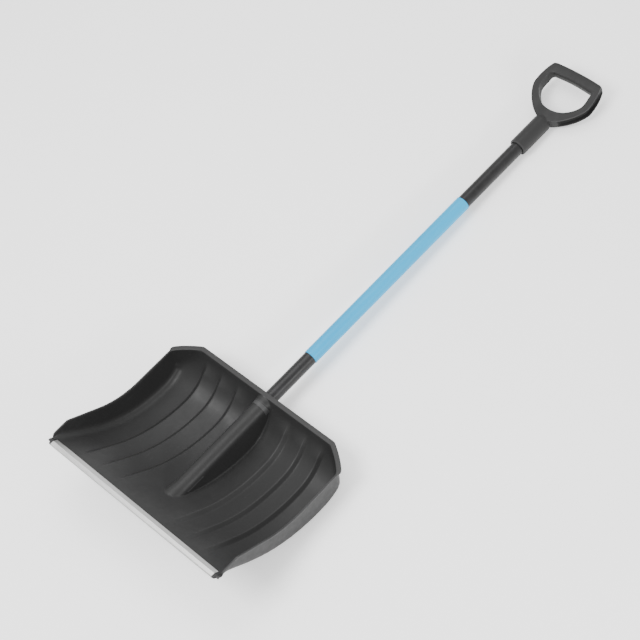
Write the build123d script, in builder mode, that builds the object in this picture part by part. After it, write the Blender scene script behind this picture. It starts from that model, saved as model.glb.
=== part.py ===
"""A snow shovel: a moulded scoop blade with a metal edge, a sleeved tube and a D-grip.

Everything is modelled along the tube: X to the right, Y from the blade to the grip, Z out of
the open side of the scoop, with the tube's axis at X = 0, Z = 0. At the end the shovel is laid
on its back on the ground, with the origin under the middle of its bounding box.
"""
import os
from math import asin, atan2, cos, degrees, hypot, radians, sin, tan

from build123d import *

# ---- driving sizes, millimetres and degrees -------------------------------------------------
# scoop
inner_half_width = 255.0      # inside the side walls, at rim height
corner_cut = 57.0             # how much narrower the straight rear rim is, at each end
corner_run = 42.0             # how far in front of the rim the rear corners begin
wall_draft = 4.5              # lean of the side walls
sheet = 3.2                   # wall of the moulding
low_y = 265.0                 # deepest place of the floor
low_depth = 53.0              # its depth below the tube's axis
floor_slope = 38.0            # straight front part of the floor
floor_radius = 287.5          # long hollow of the floor
heel_slope = 68.0             # rear wall
heel_radius = 102.0           # tight hollow at the rear
rim_height = 22.0             # rear rim above the tube's axis
rim_width = 11.0              # flange around the rear
rim_gauge = 3.0
cheek_height = 96.0           # top of the side walls at the front
cheek_slope = 31.0            # fall of the side walls' top edge
cheek_radius = 200.0          # sweep of that edge into the rim
cheek_end_y = 221.0           # where the sweep meets rim height
cheek_lip = 4.2               # width of the lip along the side walls
nose_setback = 8.0            # of the side walls' front corner, behind the edge's
nose_fall = 1.0               # drop of their top edge towards that corner
bottom_radius = 22.0          # between the floor and the walls
turn_radius = 30.0            # rear corners, seen from above
# flutes in the floor
flute_height = 6.5
flute_run = 45.0
flute_count = 3               # on each side
flute_pitch = 50.5
flute_margin = 75.0           # from the outermost crest to the side wall
flute_start_y = 10.0
flute_end_share = 0.85        # how far up the rear wall's hollow the flutes run
flute_root = 0.5              # how deep a flute sits in the floor
# wear strip
strip_end_gap = 5.0           # from the strip's end to the line of the side wall
strip_gauge = 1.5
strip_band = 11.0             # flat upper band
strip_reach = 16.5            # from the strip's rear edge to the tip of the blade inside it
strip_drop = 3.6              # fall of the bevel
edge_thickness = 5.2          # of the blade inside the strip
strip_clearance = 0.1
strip_ramp = 12.0             # length over which the floor rises to the strip
strip_screw_count = 4
strip_screw_share = 0.72      # of the strip's length, between its outermost screws
strip_screw_radius = 1.75
strip_screw_head_radius = 3.4
strip_screw_length = 5.0
strip_screw_place = 7.0       # from the strip's rear edge
# tube, its sleeve and its foot plug
tube_radius = 16.0
tube_wall = 1.5
tube_foot_gap = 18.0          # from the front of the socket to the tube
tube_clearance = 0.1          # around the tube, in everything that it passes through
sleeve_length = 505.0
sleeve_gap = 188.0            # from the sleeve to the grip
sleeve_wall = 1.2
sleeve_lip = 0.8
plug_flange = 2.5
plug_depth = 18.0
plug_wall = 2.0
# socket of the blade
socket_wall = 3.4
socket_foot_y = 80.0
socket_foot_radius = 10.0
socket_skirt_depth = 14.0     # side walls below the tube's axis, in front of the floor's dip
socket_skirt_length = 70.0
socket_throat_length = 22.0   # in front of the rim, closed all around
socket_collar = 3.0           # how far the collar stands out
socket_collar_length = 12.0
first_bridge = 80.0           # from the front of the socket
last_bridge = 64.0            # from the rim
bridge_length = 22.0
bridge_thickness = 7.0
blade_screw_radius = 2.4
blade_screw_head_radius = 4.8
blade_screw_head_height = 3.2
blade_screw_grip = 4.0        # thread inside the tube
screw_clearance = 0.15
washer_radius = 7.0
washer_thickness = 1.2
# D-grip
grip_start_y = 1195.0
collar_length = 93.0          # from the start of the grip to the neck, where the cant begins
grip_cant = 11.0
collar_wall = 5.2
collar_round = 3.0
neck_step = 4.0               # how far the arms start inside the collar's surface
grip_socket_depth = 84.0
grip_half_width = 77.0
grip_widest = 78.0            # from the neck to the widest place
grip_top_half_width = 68.0
grip_length = 137.0           # from the neck to the outer corners
grip_bow = 3.0                # bow of the bar
arm_width = 18.0
arm_thickness = 26.0
bar_depth = 29.0
bar_thickness = 26.5
recess_depth = 9.0
recess_width = 19.0
recess_start = 15.0           # from the neck
window_foot = 25.0            # from the neck to the bottom of the window
grip_screw_offset = 40.0      # from the start of the collar
window_corner = 4.0           # how far the window's top corners lie outside the arms' line
loop_corner = 8.0
grip_screw_radius = 2.0
grip_screw_head_radius = 4.0
grip_screw_head_height = 2.4
grip_screw_sink = 0.6         # head below the collar's surface
grip_screw_grip = 5.0         # thread inside the tube

# ---- values worked out from them ------------------------------------------------------------
slope = radians(floor_slope)
heel = radians(heel_slope)
fall = radians(cheek_slope)
draft = radians(wall_draft)
cant = radians(grip_cant)
bore_radius = tube_radius + tube_clearance
housing_radius = bore_radius + socket_wall
under = flute_height + sheet  # from the flutes' crests to the floor's underside
rim_half_width = inner_half_width - corner_cut
flute_crests = [inner_half_width - flute_margin - flute_pitch * k for k in range(flute_count)]
strip_half_length = inner_half_width - strip_end_gap
strip_screw_pitch = 2 * strip_half_length * strip_screw_share / (strip_screw_count - 1)
tube_foot_y = socket_foot_y + tube_foot_gap
grip_neck_y = grip_start_y + collar_length
collar_radius = bore_radius + collar_wall
sleeve_start_y = grip_start_y - sleeve_gap - sleeve_length
heel_end_y = low_y + heel_radius * sin(heel)
heel_end_z = -low_depth + heel_radius * (1 - cos(heel))
rim_y = heel_end_y + (rim_height - heel_end_z) / tan(heel)
side_end_y = rim_y - corner_run
bridge_places = (socket_foot_y + first_bridge, rim_y - last_bridge)
front_z = (-low_depth + floor_radius * (1 - cos(slope))
           + (low_y - floor_radius * sin(slope)) * tan(slope))
strip_y0_z = front_z + flute_height / cos(slope)
beyond = 60.0                 # how far cutting shapes run past the scoop
high = 200.0
deep = 120.0

# Along the front edge: first axis up the floor towards the tip, second axis out of the floor,
# from the point where the wear strip's upper leg begins.
EDGE = Plane(origin=(0, 0, strip_y0_z), x_dir=(0, -cos(slope), sin(slope)), z_dir=(-1, 0, 0))
GRIP = Plane(origin=(0, grip_neck_y, 0), x_dir=(1, 0, 0), z_dir=(0, -sin(cant), cos(cant)))


def on_slope(forward, up):
    """Side-view point (Y, Z) from a distance up the floor and a height above the flutes."""
    return (-forward * cos(slope) + up * sin(slope),
            strip_y0_z + forward * sin(slope) + up * cos(slope))


def floor_curve(down, front):
    """Side view of the floor from the point `front` to the rim, `down` below its surface."""
    bend = (low_y - (floor_radius + down) * sin(slope),
            -low_depth + floor_radius - (floor_radius + down) * cos(slope))
    low = (low_y, -low_depth - down)
    wall = (low_y + (heel_radius + down) * sin(heel),
            -low_depth + heel_radius - (heel_radius + down) * cos(heel))
    Line(front, bend)
    TangentArc(bend, low, tangent=(cos(slope), -sin(slope)))
    TangentArc(low, wall, tangent=(1, 0))
    return wall


def cheek_curve(drop):
    """Side view of the side walls' top edge from rim to nose, lowered by `drop`."""
    sweep_start = (cheek_end_y, rim_height - drop)
    sweep_end = (cheek_end_y - cheek_radius * sin(fall),
                 rim_height + cheek_radius * (1 - cos(fall)) - drop)
    crown = (sweep_end[0] - (cheek_height - drop - sweep_end[1]) / tan(fall), cheek_height - drop)
    nose = (on_slope(strip_band, 0)[0] + nose_setback, cheek_height - nose_fall - drop)
    TangentArc(sweep_start, sweep_end, tangent=(-1, 0))
    Line(sweep_end, crown)
    Line(crown, nose)
    return nose


def plan_volume(outward):
    """The scoop's plan, widened by `outward`, with the draft of its walls."""
    shrink = (deep + rim_height) * tan(draft)
    with BuildPart() as volume:
        with BuildSketch(Plane.XY.offset(-deep)) as plan:
            with BuildLine():
                Polyline((-inner_half_width, -beyond), (-inner_half_width, side_end_y),
                         (-rim_half_width, rim_y), (rim_half_width, rim_y),
                         (inner_half_width, side_end_y), (inner_half_width, -beyond), close=True)
            make_face()
            fillet(plan.vertices().sort_by(Axis.Y)[2:], turn_radius)
            offset(amount=outward - shrink)
        extrude(amount=deep + high, taper=-wall_draft)
    return volume.part


def side_prism(draw):
    """A full-width solid from a closed side view, which `draw` lays out."""
    with BuildPart() as prism:
        with BuildSketch(Plane.YZ):
            with BuildLine():
                draw()
            make_face()
        extrude(amount=inner_half_width + beyond, both=True)
    return prism.part


def draw_body():
    """Side view of the moulding, from the floor's underside to the top of the side walls."""
    tip_under = on_slope(strip_reach, -edge_thickness)
    tip = on_slope(strip_reach, -strip_drop)
    step = on_slope(-strip_ramp / 2, -edge_thickness)
    step_foot = on_slope(-strip_ramp - sheet, -under)
    wall = floor_curve(sheet, step_foot)
    rim = (wall[0] + (rim_height - wall[1]) / tan(heel), rim_height)
    Polyline(wall, rim, (cheek_end_y, rim_height))
    nose = cheek_curve(0)
    Polyline(nose, on_slope(strip_band, 0), tip, tip_under, step, step_foot)


def draw_hollow():
    """Side view of the space in the scoop, with the step up to the wear strip in front."""
    ramp_foot = on_slope(-strip_ramp, -flute_height)
    wall = floor_curve(0, ramp_foot)
    up = (wall[0] + (high - wall[1]) / tan(heel), high)
    Polyline(wall, up, (-beyond, high), on_slope(beyond, 0), on_slope(0, 0), ramp_foot)


def draw_above_floor():
    """Side view of everything above the floor's underside."""
    front = on_slope(beyond, -under)
    wall = floor_curve(sheet, front)
    up = (wall[0] + (high - wall[1]) / tan(heel), high)
    Polyline(wall, up, (front[0], high), front)


def draw_lip():
    """Side view of the band along the top edge of the side walls."""
    start = (side_end_y, rim_height)
    under = (side_end_y, rim_height - rim_gauge)
    Line(start, (cheek_end_y, rim_height))
    nose = cheek_curve(0)
    lower_nose = cheek_curve(rim_gauge)
    Line(nose, lower_nose)
    Line((cheek_end_y, rim_height - rim_gauge), under)
    Line(under, start)


def strip_section(inner, outer):
    """Section of a sheet wrapped around the front edge, between two offsets from it."""
    with BuildSketch() as section:
        with BuildLine():
            Polyline((-strip_ramp, 0), (strip_band, 0), (strip_reach, -strip_drop),
                     (strip_reach, -edge_thickness), (-strip_ramp, -edge_thickness), close=True)
        make_face()
        edge = section.sketch
        offset(amount=outer, kind=Kind.INTERSECTION)
        if inner:
            add(offset(edge, amount=inner, kind=Kind.INTERSECTION, mode=Mode.PRIVATE), mode=Mode.SUBTRACT)
        with Locations((beyond, -edge_thickness / 2)):
            Rectangle(2 * beyond, 2 * beyond, mode=Mode.INTERSECT)
    return section.sketch


def floor_path(end_share):
    """The middle line of the floor from the flutes' start to part of the way up the rear wall."""
    start = on_slope(-flute_start_y / cos(slope), -flute_height)
    bend = (low_y - floor_radius * sin(slope), -low_depth + floor_radius * (1 - cos(slope)))
    turn = heel * end_share
    end = (low_y + heel_radius * sin(turn), -low_depth + heel_radius * (1 - cos(turn)))
    with BuildLine(Plane.YZ) as path:
        Line(start, bend)
        TangentArc(bend, (low_y, -low_depth), tangent=(cos(slope), -sin(slope)))
        TangentArc((low_y, -low_depth), end, tangent=(1, 0))
    return start, path.line


# ---- blade ----------------------------------------------------------------------------------
with BuildPart() as hollow:
    add(side_prism(draw_hollow))
    add(plan_volume(0), mode=Mode.INTERSECT)
    low_edges = hollow.edges().filter_by(GeomType.LINE, reverse=True)
    low_edges = low_edges.filter_by(lambda edge: edge.center().Z < rim_height - rim_gauge
                                    and abs(edge.center().X) > rim_half_width + turn_radius)
    fillet(low_edges, bottom_radius)

with BuildPart() as lip:
    add(side_prism(draw_lip))
    add(plan_volume(cheek_lip), mode=Mode.INTERSECT)

with BuildPart() as flange:
    add(plan_volume(rim_width))
    with BuildSketch(Plane.XY.offset(rim_height - rim_gauge)):
        with Locations((0, side_end_y + beyond)):
            Rectangle(2 * (inner_half_width + beyond), 2 * beyond)
    extrude(amount=rim_gauge, mode=Mode.INTERSECT)

# the edge's corners, beside the wear strip and flush with it
with BuildPart() as corners:
    with BuildSketch(EDGE):
        add(strip_section(0, strip_clearance + strip_gauge))
    extrude(amount=inner_half_width + beyond, both=True)
    add(plan_volume(sheet), mode=Mode.INTERSECT)
    Box(2 * (strip_half_length + strip_clearance), 4 * beyond, 4 * high, mode=Mode.SUBTRACT)

# a saw-tooth ridge: a gentle rise outwards, then a steep face
flute_start, flute_line = floor_path(flute_end_share)
with BuildPart() as flutes:
    for crest in flute_crests:
        for side in (-1, 1):
            with BuildSketch(Plane(origin=(0, *flute_start), x_dir=(-1, 0, 0),
                                   z_dir=(0, cos(slope), -sin(slope)))):
                with BuildLine():
                    Polyline((side * (crest - flute_run), -flute_root),
                             (side * (crest - flute_run), 0),
                             (side * crest, flute_height),
                             (side * (crest + flute_height), 0),
                             (side * (crest + flute_height), -flute_root), close=True)
                make_face()
            sweep(path=flute_line)

# raised housing over the tube, closed in front and open below
with BuildPart() as housing:
    with BuildSketch(Plane.XZ.offset(-socket_foot_y)):
        Circle(housing_radius)
        with Locations((0, -deep / 2)):
            Rectangle(2 * housing_radius, deep)
    extrude(amount=-(rim_y + rim_width - socket_foot_y))
    fillet(housing.faces().sort_by(Axis.Y)[0].edges().sort_by(Axis.Z)[-3:], socket_foot_radius)
    add(side_prism(draw_above_floor), mode=Mode.INTERSECT)

with BuildPart() as skirt:
    with BuildSketch(Plane.XZ.offset(-socket_foot_y)):
        with Locations((0, -socket_skirt_depth / 2)):
            Rectangle(2 * housing_radius, socket_skirt_depth)
    extrude(amount=-socket_skirt_length)

with BuildPart() as blade:
    add(side_prism(draw_body))
    add(plan_volume(sheet), mode=Mode.INTERSECT)
    add(lip.part)
    add(flange.part)
    add(corners.part)
    add(hollow.part, mode=Mode.SUBTRACT)
    add(flutes.part)
    add(housing.part)
    add(skirt.part)
    with Locations(Plane.XZ.offset(-(rim_y - socket_collar_length))):
        Cylinder(housing_radius + socket_collar, socket_collar_length + rim_width,
                 align=(Align.CENTER, Align.CENTER, Align.MAX))
    # the tube's way in from the rear, and the open channel under it
    with Locations(Plane.XZ.offset(-(tube_foot_y - plug_flange - tube_clearance))):
        Cylinder(bore_radius, rim_y + beyond, align=(Align.CENTER, Align.CENTER, Align.MAX),
                 mode=Mode.SUBTRACT)
    with Locations((0, tube_foot_y - plug_flange - tube_clearance, 0)):
        Box(2 * bore_radius, rim_y - socket_throat_length - tube_foot_y, deep,
            align=(Align.CENTER, Align.MIN, Align.MAX), mode=Mode.SUBTRACT)
    with Locations([(0, place, -bore_radius) for place in bridge_places]):
        Box(2 * bore_radius + socket_wall, bridge_length, bridge_thickness,
            align=(Align.CENTER, Align.CENTER, Align.MAX))
        Cylinder(blade_screw_radius + screw_clearance, 3 * bridge_thickness, mode=Mode.SUBTRACT)
    # holes for the wear strip's screws
    strip_screw_xs = GridLocations(strip_screw_pitch, 1, strip_screw_count, 1).locations
    for spot in strip_screw_xs:
        with Locations(Plane(origin=EDGE.from_local_coords((strip_screw_place, -edge_thickness, 0))
                             + Vector(spot.position.X, 0, 0), z_dir=EDGE.y_dir)):
            Cylinder(strip_screw_radius, strip_screw_length - strip_gauge,
                     align=(Align.CENTER, Align.CENTER, Align.MIN), mode=Mode.SUBTRACT)
blade.part.label = "blade"

# ---- wear strip and its screws --------------------------------------------------------------
with BuildPart() as wear_strip:
    with BuildSketch(EDGE):
        add(strip_section(strip_clearance, strip_clearance + strip_gauge))
    extrude(amount=strip_half_length, both=True)
    for spot in strip_screw_xs:
        with Locations(Plane(origin=EDGE.from_local_coords(
                (strip_screw_place, -edge_thickness - strip_clearance - strip_gauge, 0))
                + Vector(spot.position.X, 0, 0), z_dir=EDGE.y_dir)):
            Cone(strip_screw_head_radius, strip_screw_radius, strip_gauge + strip_clearance,
                 align=(Align.CENTER, Align.CENTER, Align.MIN), mode=Mode.SUBTRACT)
wear_strip.part.label = "wear_strip"

with BuildPart() as wear_strip_screws:
    for spot in strip_screw_xs:
        with Locations(Plane(origin=EDGE.from_local_coords(
                (strip_screw_place, -edge_thickness - strip_clearance - strip_gauge, 0))
                + Vector(spot.position.X, 0, 0), z_dir=EDGE.y_dir)):
            Cone(strip_screw_head_radius, strip_screw_radius, strip_gauge + strip_clearance,
                 align=(Align.CENTER, Align.CENTER, Align.MIN))
            Cylinder(strip_screw_radius, strip_screw_length,
                     align=(Align.CENTER, Align.CENTER, Align.MIN))
wear_strip_screws.part.label = "wear_strip_screws"

# ---- tube, sleeve, foot plug ----------------------------------------------------------------
tube_end_y = grip_start_y + grip_socket_depth - tube_clearance
grip_screw_y = grip_start_y + grip_screw_offset
with BuildPart() as shaft_tube:
    with BuildSketch(Plane.XZ.offset(-tube_foot_y)):
        Circle(tube_radius)
        Circle(tube_radius - tube_wall, mode=Mode.SUBTRACT)
    extrude(amount=-(tube_end_y - tube_foot_y))
    with Locations([(0, place, -tube_radius) for place in bridge_places]):
        Cylinder(blade_screw_radius, 3 * tube_wall, mode=Mode.SUBTRACT)
    with Locations((0, grip_screw_y, -tube_radius)):
        Cylinder(grip_screw_radius, 3 * tube_wall, mode=Mode.SUBTRACT)
shaft_tube.part.label = "shaft_tube"

with BuildPart() as shaft_sleeve:
    with BuildSketch(Plane.XZ.offset(-sleeve_start_y)):
        Circle(tube_radius + sleeve_wall)
        Circle(tube_radius, mode=Mode.SUBTRACT)
    extrude(amount=-sleeve_length)
    outer = shaft_sleeve.faces().sort_by(Axis.Y)
    rims = [face.edges().sort_by(SortBy.RADIUS)[-1] for face in (outer[0], outer[-1])]
    chamfer(rims, sleeve_lip)
shaft_sleeve.part.label = "shaft_sleeve"

with BuildPart() as tube_foot_plug:
    with Locations(Plane.XZ.offset(-tube_foot_y)):
        Cylinder(tube_radius, plug_flange, align=(Align.CENTER, Align.CENTER, Align.MIN))
        Cylinder(tube_radius - tube_wall - tube_clearance, plug_depth,
                 align=(Align.CENTER, Align.CENTER, Align.MAX))
        Cylinder(tube_radius - tube_wall - tube_clearance - plug_wall, plug_depth,
                 align=(Align.CENTER, Align.CENTER, Align.MAX), mode=Mode.SUBTRACT)
tube_foot_plug.part.label = "tube_foot_plug"

# ---- screws that hold the tube in the blade -------------------------------------------------
washer_top = -bore_radius - bridge_thickness
head_top = washer_top - washer_thickness
with BuildPart() as blade_screw_washers:
    with Locations([(0, place, washer_top) for place in bridge_places]):
        Cylinder(washer_radius, washer_thickness, align=(Align.CENTER, Align.CENTER, Align.MAX))
        Cylinder(blade_screw_radius + screw_clearance, 3 * washer_thickness, mode=Mode.SUBTRACT)
blade_screw_washers.part.label = "blade_screw_washers"

with BuildPart() as blade_screws:
    screw_top = -tube_radius + tube_wall + blade_screw_grip
    with Locations([(0, place, head_top) for place in bridge_places]):
        Cylinder(blade_screw_head_radius, blade_screw_head_height,
                 align=(Align.CENTER, Align.CENTER, Align.MAX))
        Cylinder(blade_screw_radius, screw_top - head_top,
                 align=(Align.CENTER, Align.CENTER, Align.MIN))
    fillet(blade_screws.faces().group_by(Axis.Z)[0].edges(), blade_screw_head_height / 3)
blade_screws.part.label = "blade_screws"


# ---- D-grip ---------------------------------------------------------------------------------
def draw_grip_outline(inset=0.0):
    """Outline of the D in the grip's own plane, from the neck to the bar, with its arms inset."""
    neck = (collar_radius - neck_step - inset, inset)
    widest = (grip_half_width - inset, grip_widest)
    corner = (grip_top_half_width - inset, grip_length)
    Spline(neck, widest, tangents=((1, 0.25), (0, 1)))
    TangentArc(widest, corner, tangent=(0, 1))
    mirror(about=Plane.YZ)
    ThreePointArc(corner, (0, grip_length + grip_bow), (-corner[0], corner[1]))
    Line((-neck[0], neck[1]), neck)


def draw_window():
    """Outline of the hand opening in the grip's own plane."""
    inner_top = grip_length - bar_depth
    widest = (grip_half_width - arm_width, grip_widest)
    corner = (grip_top_half_width - arm_width + window_corner, inner_top)
    Spline((0, window_foot), widest, tangents=((1, 0), (0, 1)), tangent_scalars=(1.5, 1))
    TangentArc(widest, corner, tangent=(0, 1))
    mirror(about=Plane.YZ)
    ThreePointArc(corner, (0, inner_top + grip_bow), (-corner[0], corner[1]))


with BuildPart() as d_grip:
    with BuildSketch(GRIP) as loop:
        with BuildLine():
            draw_grip_outline()
        make_face()
        fillet(loop.vertices().filter_by_position(Axis.Y, grip_length - 1, grip_length + 1), loop_corner)
    extrude(amount=arm_thickness / 2, both=True)
    # channel along the outside of each arm
    with BuildSketch(GRIP) as recess:
        with BuildLine():
            draw_grip_outline()
        make_face()
        with BuildLine():
            draw_grip_outline(recess_depth)
        make_face(mode=Mode.SUBTRACT)
        with Locations((0, recess_start)):
            Rectangle(4 * grip_half_width, grip_length - bar_depth / 2 - recess_start,
                      align=(Align.CENTER, Align.MIN), mode=Mode.INTERSECT)
    extrude(amount=recess_width / 2, both=True, mode=Mode.SUBTRACT)
    # the bar
    bar_middle = grip_length - bar_depth / 2 + grip_bow / 2
    with BuildSketch(Plane(origin=GRIP.from_local_coords((0, bar_middle, 0)), x_dir=GRIP.y_dir,
                           z_dir=(1, 0, 0))):
        Ellipse(bar_depth / 2, bar_thickness / 2)
    extrude(amount=grip_top_half_width - recess_depth / 2, both=True)
    with BuildSketch(GRIP):
        with BuildLine():
            draw_window()
        make_face()
    extrude(amount=bar_thickness, both=True, mode=Mode.SUBTRACT)
    with Locations(Plane.XZ.offset(-grip_start_y)):
        Cylinder(collar_radius, grip_neck_y - grip_start_y,
                 align=(Align.CENTER, Align.CENTER, Align.MAX))
    fillet(d_grip.faces().sort_by(Axis.Y)[0].edges(), collar_round)
    with Locations((0, grip_neck_y, 0)):
        Sphere(collar_radius)
    with Locations(Plane.XZ.offset(-grip_start_y)):
        Cylinder(bore_radius, grip_socket_depth, align=(Align.CENTER, Align.CENTER, Align.MAX),
                 mode=Mode.SUBTRACT)
    with Locations((0, grip_screw_y, -collar_radius)):
        Cylinder(grip_screw_radius + screw_clearance, collar_radius,
                 align=(Align.CENTER, Align.CENTER, Align.MIN), mode=Mode.SUBTRACT)
        Cylinder(grip_screw_head_radius + screw_clearance,
                 2 * (grip_screw_sink + grip_screw_head_height), mode=Mode.SUBTRACT)
d_grip.part.label = "d_grip"

screw_end = -tube_radius + tube_wall + grip_screw_grip
with BuildPart() as grip_screw:
    with Locations((0, grip_screw_y, -collar_radius + grip_screw_sink)):
        Cylinder(grip_screw_head_radius, grip_screw_head_height,
                 align=(Align.CENTER, Align.CENTER, Align.MIN))
        Cylinder(grip_screw_radius, screw_end + collar_radius - grip_screw_sink,
                 align=(Align.CENTER, Align.CENTER, Align.MIN))
grip_screw.part.label = "grip_screw"

# ---- lay the shovel on its back: heel of the blade and collar of the grip on the ground ------
heel_reach = heel_radius + sheet
heel_centre_z = heel_radius - low_depth
reach = hypot(grip_neck_y - low_y, heel_centre_z)
tilt = atan2(-heel_centre_z, grip_neck_y - low_y) + asin((heel_reach - collar_radius) / reach)
pieces = (blade, wear_strip, wear_strip_screws, shaft_tube, shaft_sleeve, tube_foot_plug,
          blade_screw_washers, blade_screws, d_grip, grip_screw)
turned = [piece.part.rotate(Axis.X, -degrees(tilt)) for piece in pieces]
box = turned[0].bounding_box()
for piece in turned[1:]:
    box = box.add(piece.bounding_box())
ground = Location((-box.center().X, -box.center().Y, -box.min.Z))

os.makedirs("parts", exist_ok=True)
for piece, lying in zip(pieces, turned):
    node = piece.part.label
    lying = lying.moved(ground)
    lying.label = node
    export_step(lying, f"parts/{node}.step")
print(f"lying tilt {degrees(tilt):.4f} degrees, moved by {ground.position}")
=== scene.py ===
"""Looks of the snow shovel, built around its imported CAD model. Metres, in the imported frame.

The shovel's own shapes are laid out in millimetres along its tube: X to the right, Y from the
blade to the grip, Z out of the scoop, with the tube's axis at X = 0, Z = 0. lay() takes them
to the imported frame, where the shovel lies on its back.
"""

from math import atan, cos, degrees, hypot, pi, radians, sin, sqrt, tan

import bmesh
import bpy
import numpy as np
from mathutils import Matrix, Vector


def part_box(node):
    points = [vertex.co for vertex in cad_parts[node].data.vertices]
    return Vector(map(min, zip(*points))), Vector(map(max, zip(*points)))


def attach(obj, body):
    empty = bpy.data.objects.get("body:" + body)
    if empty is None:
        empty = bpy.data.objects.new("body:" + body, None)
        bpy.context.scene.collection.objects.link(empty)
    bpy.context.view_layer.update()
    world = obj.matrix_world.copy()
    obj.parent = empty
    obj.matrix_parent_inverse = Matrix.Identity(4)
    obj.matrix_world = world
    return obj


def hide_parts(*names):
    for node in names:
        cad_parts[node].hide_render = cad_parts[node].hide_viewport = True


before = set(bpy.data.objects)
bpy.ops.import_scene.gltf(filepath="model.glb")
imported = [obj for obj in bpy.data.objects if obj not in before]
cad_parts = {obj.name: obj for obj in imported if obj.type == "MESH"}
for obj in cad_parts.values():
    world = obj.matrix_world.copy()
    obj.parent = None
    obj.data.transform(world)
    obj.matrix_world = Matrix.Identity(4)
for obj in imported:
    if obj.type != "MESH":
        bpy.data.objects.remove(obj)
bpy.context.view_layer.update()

MM = 0.001

# ---- studio: metres, or millimetres along the shovel for the camera -------------------------
PAPER_GLOW = 0.5
WORLD_STRENGTH = 1.05
FLOOR_HALF_SIZE = 30
LIT_PLACE = (0, 0, 0.05)
SENSOR_WIDTH = 36
FOCAL_LENGTH = 102.565
CAMERA_PLACE = (1998.5, -561.0, 3218.1)
CAMERA_RIGHT = (0.7074, 0.6749, -0.2099)
CAMERA_BACK = (0.5143, -0.2878, 0.8079)

# ---- sizes of the shovel, millimetres and angles --------------------------------------------
# scoop: a sloping floor, a wide bend, a heel and a rear wall up to the rim
INNER_HALF_WIDTH = 255.0
WALL_DRAFT = radians(4.5)
SHEET = 3.1
LOW_Y, LOW_Z = 265.0, -53.0
FLOOR_SLOPE = radians(38)
FLOOR_RADIUS = 287.5
HEEL_SLOPE = radians(68)
HEEL_RADIUS = 102.0
RIM_HEIGHT = 22.0
RIM_HALF_WIDTH = 198.0
SIDE_END_Y = 322.0
BOTTOM_RADIUS = 17.0
TURN_SOFTNESS = 5.0
CORNER_BOW = 4.5
# top edge of the side walls, from the nose over a long sweep to the rim
CHEEK_HEIGHT = 95.0
CHEEK_SLOPE = radians(31)
CHEEK_RADIUS = 200.0
CHEEK_END_Y = 221.0
CHEEK_FALL = 1.5
CHEEK_FALL_Y, CHEEK_FALL_RUN = 10.0, 24.0
NOSE_SETBACK = 8.0
NOSE_ROUND = 9.0
# lip along the side walls and flange around the rear
CHEEK_LIP = 3.7
RIM_WIDTH = 11.0
RIM_GAUGE = 3.0
RIM_ROUND = 0.9
RIM_OVERLAP = 0.3
RIM_PROUD = 0.35
RIM_GROWTH = 7.0
RIM_GROWTH_START = 1.0
# flutes: crests across the front and across the rear, and where they fade out
FLUTE_HEIGHT = 6.5
FLUTE_RUN = 43.0
FLUTE_FALL = 9.0
FLUTE_CURL = 1.25
FLUTE_MARGIN = 3.0
FLUTE_CRESTS_FRONT = (80.0, 134.0, 184.0)
FLUTE_CRESTS_REAR = (76.0, 127.0, 175.0)
FLUTE_START_Y, FLUTE_GROWTH = 2.0, 78.0
FLUTE_END_LEAN, FLUTE_END_RANGE = 44.0, 22.0
THICK_HALF_WIDTH, THICK_FADE = 225.0, 20.0
# socket ridge
TUBE_RADIUS = 16.0
RIDGE_RADIUS = 19.5
RIDGE_FLARE = 2.2
RIDGE_FLARE_LENGTH = 16.0
RIDGE_FLARE_RUN = 7.0
RIDGE_FOOT_FLARE = 4.0
RIDGE_FOOT_Y = 74.0
RIDGE_FOOT_LENGTH = 34.0
RIDGE_DRAFT = radians(2)
RIDGE_SIDE_X = 20.0
RIDGE_ROOT = 9.0
RIDGE_FILLET = 9.0
# socket: its mouth behind the rim, and what holds the tube under the ridge
TUBE_CLEARANCE = 0.1
SOCKET_THROAT = 24.0
SOCKET_MOUTH = 10.9
SOCKET_LIP = 1.0
SOCKET_ROUND = 1.4
SOCKET_CHAMFER = 0.6
BRIDGES = (160.0, 300.0)
BRIDGE_LENGTH = 22.0
BRIDGE_THICKNESS = 7.0
BRIDGE_HALF_GAP = 3.0
BRIDGE_INSET = 0.6
SADDLE_Y = (80.0, 152.0)
SADDLE_Z = (-14.0, 3.0)
# wear strip and the moulding's ends beside it
STRIP_HALF_LENGTH = 250.0
STRIP_BAND = 11.0
STRIP_REACH = 16.5
STRIP_DROP = 3.6
STRIP_GAUGE = 1.6
STRIP_RAMP = 12.0
EDGE_THICKNESS = 5.2
EDGE_END = 8.0
EDGE_END_ROUND = 5.0
EDGE_END_TAPER = 0.42
EDGE_ROUND = 1.4
EDGE_GAP = 0.3
EDGE_STEP = 2.0
EDGE_ROOT = 12.0
# tube
TUBE_FOOT_Y = 98.0
TUBE_END_Y = 1278.9
# collar of the grip
GRIP_START_Y = 1195.0
GRIP_NECK_Y = 1288.0
GRIP_CLEARANCE = 0.15
GRIP_SOCKET_DEPTH = 84.0
COLLAR_RADIUS = 21.3
COLLAR_ROUND = 3.0
COLLAR_TIP_RADIUS = 9.0
COLLAR_TAPER_START = -8.0
COLLAR_TAPER = 34.0
COLLAR_CORE = 0.6
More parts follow.
